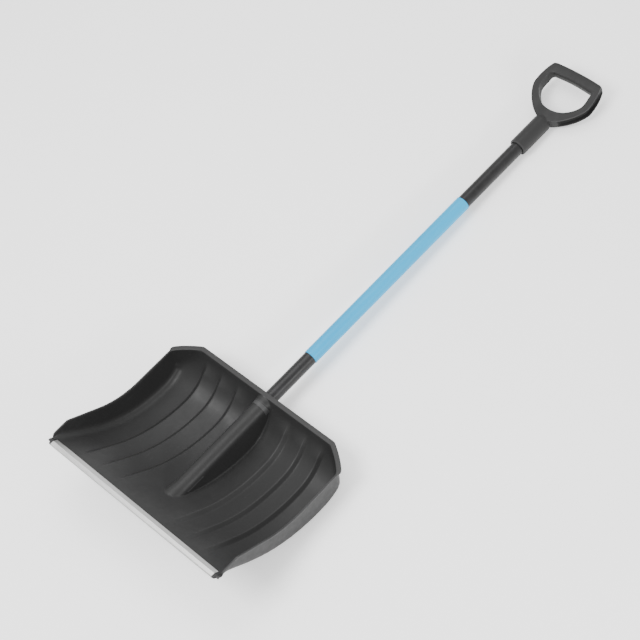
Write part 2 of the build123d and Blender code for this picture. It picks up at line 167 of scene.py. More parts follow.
# D of the grip, in its own plane
GRIP_CANT = radians(11)
GRIP_FOOT = -3.0
GRIP_HALF_WIDTH = 79.0
GRIP_WIDEST = 76.0
GRIP_TOP_HALF_WIDTH = 68.5
GRIP_LENGTH = 137.0
GRIP_BOW = 3.0
GRIP_CORNER = (8.0, 4.0)
WINDOW_FOOT = 26.5
WINDOW_CORNER = (10.0, 8.0)
WINDOW_LEAN = 2.0
ARM_WIDTH = 17.0
ARM_THICKNESS = 26.5
NECK_HALF_THICKNESS = COLLAR_RADIUS - 4
BAR_DEPTH = 28.0
BAR_THICKNESS = 27.0
BAR_SQUARENESS = 3.4
BAR_RISE = 0.5
RECESS_DEPTH = 10.0
RECESS_WIDTH = 20.5
RECESS_START = 9.0
RECESS_RAMP = 3.0
GRIP_VOXEL = 0.0007  # metres
# rows of sections around half the D, and where one kind of section turns into the next
ARM_ROWS, SHOULDER_ROWS, CORNER_ROWS, BAR_ROWS = 46, 22, 10, 30
NECK_ROWS = 16
RECESS_END_ROW, RECESS_END_ROWS = 70, 3
BAR_START_ROW, BAR_BLEND_ROWS = 60, 14

HEEL_END = (LOW_Y + HEEL_RADIUS * sin(HEEL_SLOPE), LOW_Z + HEEL_RADIUS * (1 - cos(HEEL_SLOPE)))
RIM_Y = HEEL_END[0] + (RIM_HEIGHT - HEEL_END[1]) / tan(HEEL_SLOPE)
BEND = (LOW_Y - FLOOR_RADIUS * sin(FLOOR_SLOPE), LOW_Z + FLOOR_RADIUS * (1 - cos(FLOOR_SLOPE)))
EDGE_Z = BEND[1] + BEND[0] * tan(FLOOR_SLOPE) + FLUTE_HEIGHT / cos(FLOOR_SLOPE)


def tube_pose():
    """The lying tube's tilt and its middle, from its packed box."""
    low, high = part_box("shaft_tube")
    size = high - low
    tilt = 0.0
    for _ in range(30):
        tilt = atan((size.z - size.x * cos(tilt)) / (size.y - size.x * sin(tilt)))
    return tilt, (low + high) / 2


TILT, TUBE_MIDDLE = tube_pose()
TURN = Matrix.Rotation(-TILT, 3, "X")
MIDDLE_Y = (TUBE_FOOT_Y + TUBE_END_Y) / 2


def lay(points):
    """Points in millimetres along the tube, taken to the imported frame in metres."""
    points = np.asarray(points, float).reshape(-1, 3) - (0, MIDDLE_Y, 0)
    return points @ np.array(TURN).T * MM + np.array(TUBE_MIDDLE)


def aim(direction):
    """A direction along the tube's axes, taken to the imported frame."""
    return TURN @ Vector(direction)


# ---- mesh helpers ---------------------------------------------------------------------------
def make_piece(name, points, faces, smooth_angle=35):
    """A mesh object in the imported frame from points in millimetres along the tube."""
    mesh = bpy.data.meshes.new(name)
    mesh.from_pydata([tuple(p) for p in lay(points)], [], [tuple(map(int, f)) for f in faces])
    mesh.validate()
    piece = bpy.data.objects.new(name, mesh)
    bpy.context.scene.collection.objects.link(piece)
    tidy = bmesh.new()
    tidy.from_mesh(mesh)
    bmesh.ops.remove_doubles(tidy, verts=tidy.verts, dist=1e-5)
    bmesh.ops.recalc_face_normals(tidy, faces=tidy.faces)
    tidy.to_mesh(mesh)
    tidy.free()
    mesh.shade_smooth()
    mesh.set_sharp_from_angle(angle=radians(smooth_angle))
    return piece


def grid_faces(rows, columns, start=0, close_rows=False, close_columns=False):
    """Quads of a grid of points that were listed row by row."""
    faces = []
    for i in range(rows if close_rows else rows - 1):
        for j in range(columns if close_columns else columns - 1):
            here, there = start + i * columns, start + (i + 1) % rows * columns
            k = (j + 1) % columns
            faces.append((here + j, here + k, there + k, there + j))
    return faces


def swept_faces(rows, columns):
    """Faces of a closed profile swept from row to row, with both ends capped."""
    faces = grid_faces(rows, columns, close_columns=True)
    faces.append(tuple(range(columns - 1, -1, -1)))
    faces.append(tuple(range((rows - 1) * columns, rows * columns)))
    return faces


def smoothstep(x):
    """0 up to 0, 1 from 1 on, and a smooth rise between."""
    x = np.clip(x, 0, 1)
    return x * x * (3 - 2 * x)


def rise(x, start, run):
    """A smooth rise from 0 at `start` to 1 a `run` further on, as a plain number."""
    return float(smoothstep((x - start) / run))


def hann(count):
    """Smooth averaging weights."""
    weights = np.hanning(count + 2)[1:-1]
    return weights / weights.sum()


def along(line, count):
    """A polyline resampled evenly by its length."""
    line = np.asarray(line, float)
    steps = np.hypot(*np.diff(line, axis=0).T)
    travel = np.concatenate(([0], np.cumsum(steps)))
    marks = np.linspace(0, travel[-1], count)
    return np.column_stack([np.interp(marks, travel, line[:, k]) for k in (0, 1)])


def soften(line, reach, step=0.5, mirror_start=False):
    """A polyline whose corners are rounded by averaging over `reach`."""
    line = np.asarray(line, float)
    length = np.hypot(*np.diff(line, axis=0).T).sum()
    fine = along(line, max(8, int(length / step)))
    half = min(max(1, int(reach / 2 / step)), len(fine) - 1)
    before = fine[half:0:-1] * (-1, 1) if mirror_start else 2 * fine[0] - fine[half:0:-1]
    after = 2 * fine[-1] - fine[-2:-half - 2:-1]
    padded = np.vstack((before, fine, after))
    weights = hann(2 * half + 1)
    return np.column_stack([np.convolve(padded[:, k], weights, "valid") for k in (0, 1)])


# ---- blade ----------------------------------------------------------------------------------
class Station:
    """One cross-section of the scoop: a place on the floor's profile and the way up from it."""

    def __init__(self, y, z, lean, slope):
        self.y, self.z = y, z
        self.up = (-sin(lean), cos(lean))
        self.lean = lean
        # a height measured square to the floor is this much longer along `up`
        self.stretch = 1 / cos(slope - lean)

    def at(self, x, height):
        """The point at that x, so high above the floor's line."""
        return (x, self.y + height * self.up[0], self.z + height * self.up[1])

    def height_of(self, z):
        """How high above the floor's line that z lies."""
        return (z - self.z) / self.up[1]


def stations():
    """Cross-sections from the tip of the front edge to the rear rim."""
    found = []
    front_y = -STRIP_REACH * cos(FLOOR_SLOPE)
    for y in np.linspace(front_y, BEND[0], 56):
        found.append(Station(y, BEND[1] + (BEND[0] - y) * tan(FLOOR_SLOPE), 0, -FLOOR_SLOPE))
    for turn in np.linspace(-FLOOR_SLOPE, 0, 60)[1:]:
        y = LOW_Y + FLOOR_RADIUS * sin(turn)
        found.append(Station(y, LOW_Z + FLOOR_RADIUS * (1 - cos(turn)), 0, turn))
    for turn in np.linspace(0, HEEL_SLOPE, 64)[1:]:
        y = LOW_Y + HEEL_RADIUS * sin(turn)
        found.append(Station(y, LOW_Z + HEEL_RADIUS * (1 - cos(turn)), turn, turn))
    for share in np.linspace(0, 1, 12)[1:]:
        found.append(Station(HEEL_END[0] + (RIM_Y - HEEL_END[0]) * share,
                             HEEL_END[1] + (RIM_HEIGHT - HEEL_END[1]) * share,
                             HEEL_SLOPE, HEEL_SLOPE))
    return found


def front_fade(y):
    """0 at the wear strip, 1 where the flutes have their full depth."""
    return rise(y, FLUTE_START_Y, FLUTE_GROWTH)


def rear_fade(lean):
    """1 on the floor, 0 high on the rear wall."""
    return 1 - rise(degrees(lean), FLUTE_END_LEAN, FLUTE_END_RANGE)


def cheek_top(y):
    """Height of the side walls' top edge at that Y."""
    sweep_start_y = CHEEK_END_Y - CHEEK_RADIUS * sin(CHEEK_SLOPE)
    if y >= CHEEK_END_Y:
        return RIM_HEIGHT
    if y >= sweep_start_y:
        return RIM_HEIGHT + CHEEK_RADIUS - sqrt(CHEEK_RADIUS ** 2 - (CHEEK_END_Y - y) ** 2)
    start = RIM_HEIGHT + CHEEK_RADIUS * (1 - cos(CHEEK_SLOPE))
    level = CHEEK_HEIGHT - CHEEK_FALL * float(smoothstep((CHEEK_FALL_Y - y) / CHEEK_FALL_RUN))
    nose_y = -STRIP_BAND * cos(FLOOR_SLOPE) + NOSE_SETBACK
    ahead = min(max(nose_y + NOSE_ROUND - y, 0) / NOSE_ROUND, 1)
    level -= NOSE_ROUND * (1 - sqrt(1 - ahead * ahead))
    return min(start + (sweep_start_y - y) * tan(CHEEK_SLOPE), level)


def wall_x(y, z):
    """Half the inside width at that place: side wall and rear corner, softly joined."""
    drafted = (z - RIM_HEIGHT) * tan(WALL_DRAFT)
    side = INNER_HALF_WIDTH + drafted
    across, back = INNER_HALF_WIDTH - RIM_HALF_WIDTH, RIM_Y - SIDE_END_Y
    share = min(max((y - SIDE_END_Y) / back, 0), 1)
    bow = 4 * CORNER_BOW * share * (1 - share)
    corner = INNER_HALF_WIDTH - (y - SIDE_END_Y) * across / back + bow
    corner += drafted * hypot(across, back) / back
    blend = max(TURN_SOFTNESS - abs(side - corner), 0) / TURN_SOFTNESS
    return min(side, corner) - blend * blend * TURN_SOFTNESS / 4


def ridge_radius(y):
    """Radius of the socket's housing, flared at its foot and at its collar."""
    collar = RIDGE_FLARE * rise(y, RIM_Y - RIDGE_FLARE_LENGTH, RIDGE_FLARE_RUN)
    foot = RIDGE_FOOT_FLARE * (1 - rise(y, RIDGE_FOOT_Y, RIDGE_FOOT_LENGTH))
    return RIDGE_RADIUS + collar + foot


def saw(x, crests):
    """Share of a flute's height: a gentle rise outwards, then a steep face."""
    for crest in crests:
        if crest - FLUTE_RUN <= x <= crest:
            return ((x - crest + FLUTE_RUN) / FLUTE_RUN) ** FLUTE_CURL
        if crest < x < crest + FLUTE_FALL:
            return 1 - (x - crest) / FLUTE_FALL
    return 0.0


def ridge_line(spot, floor, end):
    """Half of the ridge over the tube, from its crest down a fillet to the floor at x = end."""
    arc = []
    for turn in np.radians(np.linspace(2, 88, 44)):
        crest = spot.height_of(RIDGE_RADIUS * cos(turn))
        radius = ridge_radius(spot.y + crest * spot.up[0])
        height = spot.height_of(radius * cos(turn))
        if height <= floor(radius * sin(turn)):
            break
        arc.append((radius * sin(turn), height))
    if arc:
        x, height = arc[-1]
        wall = x + max(0.0, height - floor(RIDGE_SIDE_X)) * tan(RIDGE_DRAFT)
        line = [(0.0, arc[0][1]), *arc, (wall, floor(wall))]
    else:
        line = [(0.0, floor(0))]
    line.append((end, floor(end)))
    return along(soften(line, RIDGE_FILLET, mirror_start=True), 52)


def flute_line(floor, crests, start, end):
    """The fluted floor from x = start to x = end, with its creases a little rounded."""
    keys = [start]
    for crest in crests:
        keys += [crest - FLUTE_MARGIN, crest + FLUTE_FALL + FLUTE_MARGIN]
    keys.append(end)
    xs = []
    for k, (a, b) in enumerate(zip(keys, keys[1:])):
        xs.extend(np.linspace(a, b, 14 if k % 2 else 13)[:-1])
    fine = np.arange(start - FLUTE_MARGIN, end + FLUTE_MARGIN, 0.25)
    heights = np.array([floor(x) for x in fine])
    heights = np.convolve(np.pad(heights, 4, mode="edge"), hann(9), "valid")
    return np.column_stack((xs, np.interp(xs, fine, heights)))


def wall_lines(spot, ground, bend_start):
    """The bend from the floor at x = bend_start, and the side wall or rear corner above it."""
    top = spot.height_of(RIM_HEIGHT) if spot.lean else cheek_top(spot.y) - spot.z
    top = max(top, ground + 0.01)
    wall = [(wall_x(spot.y + h * spot.up[0], spot.z + h * spot.up[1]), h)
            for h in np.linspace(ground, top, 60)]
    length = np.hypot(*np.diff(wall, axis=0).T).sum()
    taken = min(BOTTOM_RADIUS * spot.stretch, 0.85 * length)
    wall = along(wall, 61)
    cut = max(1, round(60 * taken / max(length, 1e-6)))
    a, k, b = np.array((bend_start, ground)), wall[0], wall[cut]
    t = np.linspace(0, 1, 17)[:, None]
    bend = (1 - t) ** 2 * a + 2 * t * (1 - t) * k + t ** 2 * b
    return bend, along(wall[cut:], 14)[1:]


def half_section(spot):
    """Right half of one cross-section as (x, height) points, from the middle to the wall's top."""
    front = front_fade(spot.y)
    share = spot.y / RIM_Y
    crests = [a + (b - a) * share for a, b in zip(FLUTE_CRESTS_FRONT, FLUTE_CRESTS_REAR)]
    depth = FLUTE_HEIGHT * spot.stretch

    def floor(x):
        return depth * ((1 - front) + front * rear_fade(spot.lean) * saw(x, crests))

    ridge_end = RIDGE_RADIUS + RIDGE_FLARE + RIDGE_ROOT
    wall_start = wall_x(spot.y, spot.z)
    last_foot = crests[-1] + FLUTE_FALL + FLUTE_MARGIN
    bend_start = wall_start - min(BOTTOM_RADIUS, wall_start - last_foot - 2)
    line = np.vstack((ridge_line(spot, floor, ridge_end),
                      flute_line(floor, crests, ridge_end, bend_start)[1:],
                      *wall_lines(spot, floor(wall_start), bend_start)))
    # beyond the strip's band the edge bends down inside the strip
    ahead = -spot.y / cos(FLOOR_SLOPE) - STRIP_BAND
    line[:, 1] -= STRIP_DROP * spot.stretch * max(0, ahead) / (STRIP_REACH - STRIP_BAND)
    return line


def scoop_shell():
    """The moulding's sheet: floor, flutes, ridge and walls, closed all around."""
    spots = stations()
    upper = []
    for spot in spots:
        right = [spot.at(x, h) for x, h in half_section(spot)]
        left = [(-x, y, z) for x, y, z in right[:0:-1]]
        upper.append(left + right)
    upper = np.array(upper)
    rows, columns = upper.shape[:2]
    normal = np.cross(np.gradient(upper, axis=1), np.gradient(upper, axis=0))
    size = np.linalg.norm(normal, axis=2, keepdims=True)
    normal = normal / np.maximum(size, 1e-9)
    edge = np.array([smoothstep((s.y + STRIP_RAMP / 3) / STRIP_RAMP) for s in spots])
    full = np.array([SHEET + FLUTE_HEIGHT * (1 - front_fade(s.y)) for s in spots])
    thickness = EDGE_THICKNESS + (full - EDGE_THICKNESS) * edge
    floor_share = 1 - smoothstep((np.abs(upper[:, :, 0]) - THICK_HALF_WIDTH) / THICK_FADE)
    thickness = SHEET + (thickness[:, None] - SHEET) * floor_share
    lower = upper - normal * thickness[:, :, None]
    points = np.vstack((upper.reshape(-1, 3), lower.reshape(-1, 3)))
    count = rows * columns
    faces = grid_faces(rows, columns)
    faces += [tuple(reversed(f)) for f in grid_faces(rows, columns, count)]
    last_row, last_column = rows - 1, columns - 1
    border = [(0, j) for j in range(columns)]
    border += [(i, last_column) for i in range(1, rows)]
    border += [(last_row, j) for j in range(last_column - 1, -1, -1)]
    border += [(i, 0) for i in range(last_row - 1, 0, -1)]
    for (i, j), (k, m) in zip(border, border[1:] + border[:1]):
        a, b = i * columns + j, k * columns + m
        faces.append((a, a + count, b + count, b))
    return points, faces, upper


def ring_profile(width, gauge, rounding, steps=3):
    """A rounded rectangle as (outward, up) points; it spans `width` outward and hangs `gauge`."""
    inner, outer, top, bottom = 0.0, width, 0.0, -gauge
    points = []
    for corner_x, corner_z, start in ((outer - rounding, top - rounding, 90),
                                      (outer - rounding, bottom + rounding, 0),
                                      (inner + rounding, bottom + rounding, -90),
                                      (inner + rounding, top - rounding, -180)):
        for k in range(steps + 1):
            turn = radians(start - 90 * k / steps)
            points.append((corner_x + rounding * cos(turn), corner_z + rounding * sin(turn)))
    return points


def spaced(path, count):
    """A path in space resampled evenly by its length."""
    steps = np.linalg.norm(np.diff(path, axis=0), axis=1)
    travel = np.concatenate(([0], np.cumsum(steps)))
    marks = np.linspace(0, travel[-1], count)
    return np.column_stack([np.interp(marks, travel, path[:, k]) for k in range(3)])


def rim_bead(upper):
    """The lip along the side walls and the wider flange around the rear, in one sweep."""
    path = np.vstack((upper[:, -1], upper[-1, -2:0:-1], upper[::-1, 0]))
    steps = np.linalg.norm(np.diff(path, axis=0), axis=1)
    path = spaced(path[np.concatenate(([True], steps > 0.05))], 420)
    tangent = np.gradient(path, axis=0)
    for _ in range(3):
        tangent[1:-1] = (tangent[:-2] + 2 * tangent[1:-1] + tangent[2:]) / 4
    tangent /= np.linalg.norm(tangent, axis=1, keepdims=True)
    outward = np.cross(tangent * (1, 1, 0), (0, 0, 1.0))
    outward /= np.linalg.norm(outward, axis=1, keepdims=True)
    upward = np.cross(outward, tangent)
    points = []
    for p, o, u in zip(path, outward, upward):
        growth = min(max((p[1] - SIDE_END_Y + RIM_GROWTH_START) / RIM_GROWTH, 0), 1)
        width = CHEEK_LIP + (RIM_WIDTH - CHEEK_LIP) * sqrt(1 - (1 - growth) ** 2)
        for side, height in ring_profile(width, RIM_GAUGE, RIM_ROUND):
            points.append(p + o * (side - RIM_OVERLAP) + u * (height + RIM_PROUD))
    return points, swept_faces(len(path), len(points) // len(path))


def box_with_soft_edges(low, high, soft):
    """A box from corner to corner, with rounded edges, as points and faces."""
    maker = bmesh.new()
    bmesh.ops.create_cube(maker, size=1)
    middle = [(a + b) / 2 for a, b in zip(low, high)]
    for v in maker.verts:
        v.co = [m + c * (b - a) for m, c, a, b in zip(middle, v.co, low, high)]
    bmesh.ops.bevel(maker, geom=maker.edges[:], offset=soft, segments=3, affect="EDGES",
                    profile=0.5)
    maker.verts.index_update()
    points = [tuple(v.co) for v in maker.verts]
    faces = [tuple(v.index for v in f.verts) for f in maker.faces]
    maker.free()
    return points, faces


def box_pair(near, far, y, z, soft):
    """Boxes with soft edges on both sides of the tube, from x = near to x = far."""
    return [box_with_soft_edges((min(side * near, side * far), y[0], z[0]),
                                (max(side * near, side * far), y[1], z[1]), soft)
            for side in (-1, 1)]


def turned(profile, segments=96):
    """A ring turned about the tube's axis from a closed profile of (radius, y) points."""
    points = [(r * sin(a), y, r * cos(a)) for a in np.linspace(0, 2 * pi, segments, endpoint=False)
              for r, y in profile]
    count = len(profile)
    faces = []
    for i in range(segments):
        for j in range(count):
            a, b = i * count, (i + 1) % segments * count
            k = (j + 1) % count
            faces.append((a + j, b + j, b + k, a + k))
    return points, faces


def merged(parts):
    """Several (points, faces) shapes as one."""
    points, faces = [], []
    for some_points, some_faces in parts:
        start = len(points)
        points.extend(tuple(p) for p in some_points)
        faces.extend(tuple(i + start for i in f) for f in some_faces)
    return points, faces


def rounded_corners(corners, reach):
    """A closed outline with each corner replaced by a short curve."""
    line = []
    for k, corner in enumerate(corners):
        before, after = np.array(corners[k - 1]), np.array(corners[(k + 1) % len(corners)])
        corner = np.array(corner)
        a = corner + (before - corner) / np.linalg.norm(before - corner) * reach
        b = corner + (after - corner) / np.linalg.norm(after - corner) * reach
        for t in (0, 0.33, 0.67, 1):
            line.append((1 - t) ** 2 * a + 2 * t * (1 - t) * corner + t * t * b)
    return line


def edge_end(side):
    """The moulding's front corner beside the wear strip, with a rounded outer end."""
    tip, under = STRIP_REACH + STRIP_GAUGE, -EDGE_THICKNESS - STRIP_GAUGE
    corners = [(EDGE_STEP, STRIP_GAUGE), (STRIP_BAND, STRIP_GAUGE),
               (tip, STRIP_GAUGE - STRIP_DROP - 1), (tip, under), (EDGE_STEP, under),
               (-EDGE_ROOT, -EDGE_THICKNESS), (-EDGE_ROOT, 0)]
    centre = np.mean(corners, axis=0)
    outline = rounded_corners(corners, EDGE_ROUND)
    inner = STRIP_HALF_LENGTH + EDGE_GAP
    round_start = STRIP_HALF_LENGTH + EDGE_END - EDGE_END_ROUND
    rows = [(inner, 1.0), (inner + 0.5, 1.0)]
    for turn in np.linspace(0, pi / 2, 7):
        rows.append((round_start + EDGE_END_ROUND * sin(turn),
                     1 - EDGE_END_TAPER * (1 - cos(turn))))
    points = []
    for x, scale in rows:
        for corner in outline:
            u, w = centre + (corner - centre) * scale
            points.append((side * x, -u * cos(FLOOR_SLOPE) + w * sin(FLOOR_SLOPE),
                           EDGE_Z + u * sin(FLOOR_SLOPE) + w * cos(FLOOR_SLOPE)))
    return points, swept_faces(len(rows), len(outline))


def socket_mouth(bore):
    """The socket's end around the tube, with a rounded rim outside and a chamfer inside."""
    start, mouth = RIM_Y - SOCKET_THROAT, RIM_Y + SOCKET_MOUTH
    outer = RIDGE_RADIUS + SOCKET_LIP
    return turned(((bore, start), (outer, start), (outer, mouth - SOCKET_ROUND),
                   (RIDGE_RADIUS, mouth), (bore + SOCKET_CHAMFER, mouth),
                   (bore, mouth - SOCKET_CHAMFER)))


def blade_moulding():
    """The whole moulding as one piece."""
    points, faces, upper = scoop_shell()
    bore = TUBE_RADIUS + TUBE_CLEARANCE
    parts = [(points, faces), rim_bead(upper), edge_end(-1), edge_end(1), socket_mouth(bore)]
    for place in BRIDGES:
        parts += box_pair(BRIDGE_HALF_GAP, RIDGE_RADIUS - BRIDGE_INSET,
                          (place - BRIDGE_LENGTH / 2, place + BRIDGE_LENGTH / 2),
                          (-bore - BRIDGE_THICKNESS, -bore), 0.8)
    parts += box_pair(bore, RIDGE_RADIUS, SADDLE_Y, SADDLE_Z, 0.6)
    points, faces = merged(parts)
    return make_piece("blade_moulding", points, faces, 40)


# ---- D-grip ---------------------------------------------------------------------------------
def on_grip(x, v, w):
    """A point from the grip's own plane: across, from the neck to the bar, out of the plane."""
    return (x, GRIP_NECK_Y + v * cos(GRIP_CANT) - w * sin(GRIP_CANT),
            v * sin(GRIP_CANT) + w * cos(GRIP_CANT))


def hermite(a, b, tangent_a, tangent_b, count):
    """Points of a smooth curve between two points with given tangents."""
    t = np.linspace(0, 1, count)[:, None]
    a, b, ta, tb = (np.array(q, float) for q in (a, b, tangent_a, tangent_b))
    return ((2 * t ** 3 - 3 * t ** 2 + 1) * a + (t ** 3 - 2 * t ** 2 + t) * ta
            + (3 * t ** 2 - 2 * t ** 3) * b + (t ** 3 - t ** 2) * tb)


def joined(*curves):
    """One line through several curves that meet end to end, each given as hermite() takes it."""
    lines = [hermite(*curve) for curve in curves]
    return np.vstack([line[:-1] for line in lines[:-1]] + lines[-1:])


def outer_outline():
    """Right half of the D's outer edge, from the neck round to the middle of the bar."""
    widest = (GRIP_HALF_WIDTH, GRIP_WIDEST)
    corner = (GRIP_TOP_HALF_WIDTH, GRIP_LENGTH - GRIP_CORNER[1])
    shoulder = (corner[0] - GRIP_CORNER[0], GRIP_LENGTH + 0.8)
    return joined(((0, GRIP_FOOT), widest, (98, 0), (0, 84), ARM_ROWS),
                  (widest, corner, (0, 62), (-20, 56), SHOULDER_ROWS),
                  (corner, shoulder, (-3, 9), (-10, 1.5), CORNER_ROWS),
                  (shoulder, (0, GRIP_LENGTH + GRIP_BOW), (-60, 5), (-60, 0), BAR_ROWS))


def window_outline():
    """Right half of the D's window, row for row with outer_outline."""
    half_width, top = GRIP_HALF_WIDTH - ARM_WIDTH, GRIP_LENGTH - BAR_DEPTH
    widest = (half_width, GRIP_WIDEST)
    corner = (half_width - WINDOW_LEAN, top - WINDOW_CORNER[1])
    shoulder = (corner[0] - WINDOW_CORNER[0], top + 0.3)
    return joined(((0, WINDOW_FOOT), widest, (96, 0), (0, 60), ARM_ROWS),
                  (widest, corner, (0, 34), (-3, 28), SHOULDER_ROWS),
                  (corner, shoulder, (-1.5, 12), (-11, 1), CORNER_ROWS),
                  (shoulder, (0, top + GRIP_BOW), (-46, 4), (-46, 0), BAR_ROWS))


def grip_loop():
    """The D as a sweep around its window, from channel sections to the bar's oval ones."""
    rows = []
    for k, (a, b) in enumerate(zip(window_outline(), outer_outline())):
        bar = rise(k, BAR_START_ROW, BAR_BLEND_ROWS)
        recess = rise(b[1], RECESS_START, RECESS_RAMP)
        recess *= float(smoothstep((RECESS_END_ROW - k) / RECESS_END_ROWS))
        neck = 1 - rise(k, 0, NECK_ROWS)
        rows.append((a, b, bar, recess, neck))
    mirror = np.array((-1, 1))
    rows += [(a * mirror, b * mirror, *rest) for a, b, *rest in rows[-2:0:-1]]
    points = []
    for a, b, bar, recess, neck in rows:
        width = np.linalg.norm(b - a)
        direction = (b - a) / width
        for (p, w), (q, o) in zip(arm_section(width, recess, neck), bar_section(width)):
            side, lift = p + (q - p) * bar, w + (o - w) * bar
            x, v = a + direction * side
            points.append(on_grip(x, v, lift))
    around = len(points) // len(rows)
    return points, grid_faces(len(rows), around, close_rows=True, close_columns=True)


def arm_section(width, recess, neck=0.0):
    """Section of an arm as (across, out) points: a block with a channel in its outer side."""
    half = ARM_THICKNESS / 2 + (NECK_HALF_THICKNESS - ARM_THICKNESS / 2) * neck
    lip = RECESS_WIDTH / 2
    depth = max(0.05, RECESS_DEPTH * recess)
    corners = [(0, -half), (0, half), (width, half), (width, lip), (width - depth, lip),
               (width - depth, -lip), (width, -lip), (width, -half)]
    points = []
    for (x0, z0), (x1, z1) in zip(corners, corners[1:] + corners[:1]):
        for t in np.linspace(0, 1, 7)[:-1]:
            points.append((x0 + (x1 - x0) * t, z0 + (z1 - z0) * t))
    return points


def bar_section(width):
    """Oval section of the bar, point for point with arm_section."""
    points = []
    for x, z in arm_section(width, 0):
        angle = np.arctan2(z / (ARM_THICKNESS / 2), (x - width / 2) / (width / 2))
        spread = (abs(cos(angle)) ** BAR_SQUARENESS
                  + abs(sin(angle)) ** BAR_SQUARENESS) ** (-1 / BAR_SQUARENESS)
        points.append((width / 2 + width / 2 * cos(angle) * spread,
                       BAR_THICKNESS / 2 * sin(angle) * spread + BAR_RISE))
    return points


def grip_collar():
    """The socket around the tube, with a rounded mouth and a domed end."""
    bore = TUBE_RADIUS + GRIP_CLEARANCE
    socket_end = GRIP_START_Y + GRIP_SOCKET_DEPTH
    profile = [(bore, GRIP_START_Y + 1.0), (bore + 0.8, GRIP_START_Y)]
    for turn in np.linspace(0, pi / 2, 7):
        profile.append((COLLAR_RADIUS - COLLAR_ROUND + COLLAR_ROUND * sin(turn),
                        GRIP_START_Y + COLLAR_ROUND - COLLAR_ROUND * cos(turn)))
    for share in np.linspace(0, 1, 12):
        profile.append((COLLAR_RADIUS - (COLLAR_RADIUS - COLLAR_TIP_RADIUS) * rise(share, 0, 1),
                        GRIP_NECK_Y + COLLAR_TAPER_START + COLLAR_TAPER * share))
    profile.append((COLLAR_CORE, GRIP_NECK_Y + COLLAR_TAPER_START + COLLAR_TAPER))
    profile.append((COLLAR_CORE, socket_end))
    profile.append((bore, socket_end))
    return turned(profile)


def apply_modifier(piece, name, kind, **settings):
    """Works one modifier into the piece's mesh."""
    modifier = piece.modifiers.new(name, kind)
    for key, value in settings.items():
        setattr(modifier, key, value)
    shape = piece.evaluated_get(bpy.context.evaluated_depsgraph_get())
    mesh = bpy.data.meshes.new_from_object(shape)
    piece.modifiers.clear()
    piece.data = mesh


def d_grip():
    """The grip: collar and D grown together, with soft moulded edges."""
    points, faces = merged([grip_loop(), grip_collar()])
    grip = make_piece("d_grip_moulding", points, faces)
    apply_modifier(grip, "join", "REMESH", mode="VOXEL", voxel_size=GRIP_VOXEL)
    apply_modifier(grip, "soften", "SMOOTH", factor=0.5, iterations=8)
    grip.data.shade_smooth()
    return grip


blade = blade_moulding()
grip = d_grip()


# ---- materials ------------------------------------------------------------------------------
class Finish:
    """A Principled material, with short ways to drive it from procedural textures."""

    def __init__(self, name, metallic=0.0, coat=0.0, gloss=0.5):
        self.material = bpy.data.materials.new(name)
        self.material.use_nodes = True
        self.nodes = self.material.node_tree.nodes
        self.link = self.material.node_tree.links.new
        self.shader = self.nodes["Principled BSDF"]
        self.shader.inputs["Metallic"].default_value = metallic
        self.shader.inputs["Specular IOR Level"].default_value = gloss
        self.shader.inputs["Coat Weight"].default_value = coat
        self.shader.inputs["Coat Roughness"].default_value = 0.25
        self.place = self.nodes.new("ShaderNodeTexCoord").outputs["Object"]

    def noise(self, per_metre, detail=3.0, stretch=(1, 1, 1)):
        """Noise with so many cells to a metre; a small stretch draws it out along that axis."""
        mapping = self.nodes.new("ShaderNodeMapping")
        mapping.inputs["Scale"].default_value = stretch
        self.link(self.place, mapping.inputs["Vector"])
        texture = self.nodes.new("ShaderNodeTexNoise")
        texture.inputs["Scale"].default_value = per_metre
        texture.inputs["Detail"].default_value = detail
        self.link(mapping.outputs["Vector"], texture.inputs["Vector"])
        return texture.outputs[0]

    def spread(self, value, low, high, span=(0.3, 0.7)):
        """A texture's values within `span`, taken to the range from low to high."""
        node = self.nodes.new("ShaderNodeMapRange")
        node.inputs["From Min"].default_value, node.inputs["From Max"].default_value = span
        node.inputs["To Min"].default_value, node.inputs["To Max"].default_value = low, high
        self.link(value, node.inputs["Value"])
        return node.outputs["Result"]

    def colours(self, value, *stops):
        """A colour ramp from (place, colour) stops."""
        ramp = self.nodes.new("ShaderNodeValToRGB")
        for element, (place, colour) in zip(ramp.color_ramp.elements, stops):
            element.position, element.color = place, (*colour, 1)
        self.link(value, ramp.inputs["Fac"])
        return ramp.outputs["Color"]

    def blend(self, share, under, over):
        """A plain colour `over` laid on the colour `under` by a share."""
        node = self.nodes.new("ShaderNodeMix")
        node.data_type = "RGBA"
        self.link(share, node.inputs[0])
        self.link(under, node.inputs[6])
        node.inputs[7].default_value = (*over, 1)
        return node.outputs[2]

    def edges(self, start, end):
        """1 on edges that stand out, 0 on flat places."""
        return self.spread(self.nodes.new("ShaderNodeNewGeometry").outputs["Pointiness"], 0, 1,
                           (start, end))

    def use(self, colour, roughness):
        """Drives the shader's colour and roughness."""
        self.link(colour, self.shader.inputs["Base Color"])
        self.link(roughness, self.shader.inputs["Roughness"])

    def bumps(self, *layers):
        """Bump from (height, depth in metres, strength) layers, the coarsest first."""
        normal = None
        for height, depth, strength in layers:
            node = self.nodes.new("ShaderNodeBump")
            node.inputs["Distance"].default_value = depth
            node.inputs["Strength"].default_value = strength
            self.link(height, node.inputs["Height"])
            if normal:
                self.link(normal, node.inputs["Normal"])
            normal = node.outputs["Normal"]
        self.link(normal, self.shader.inputs["Normal"])


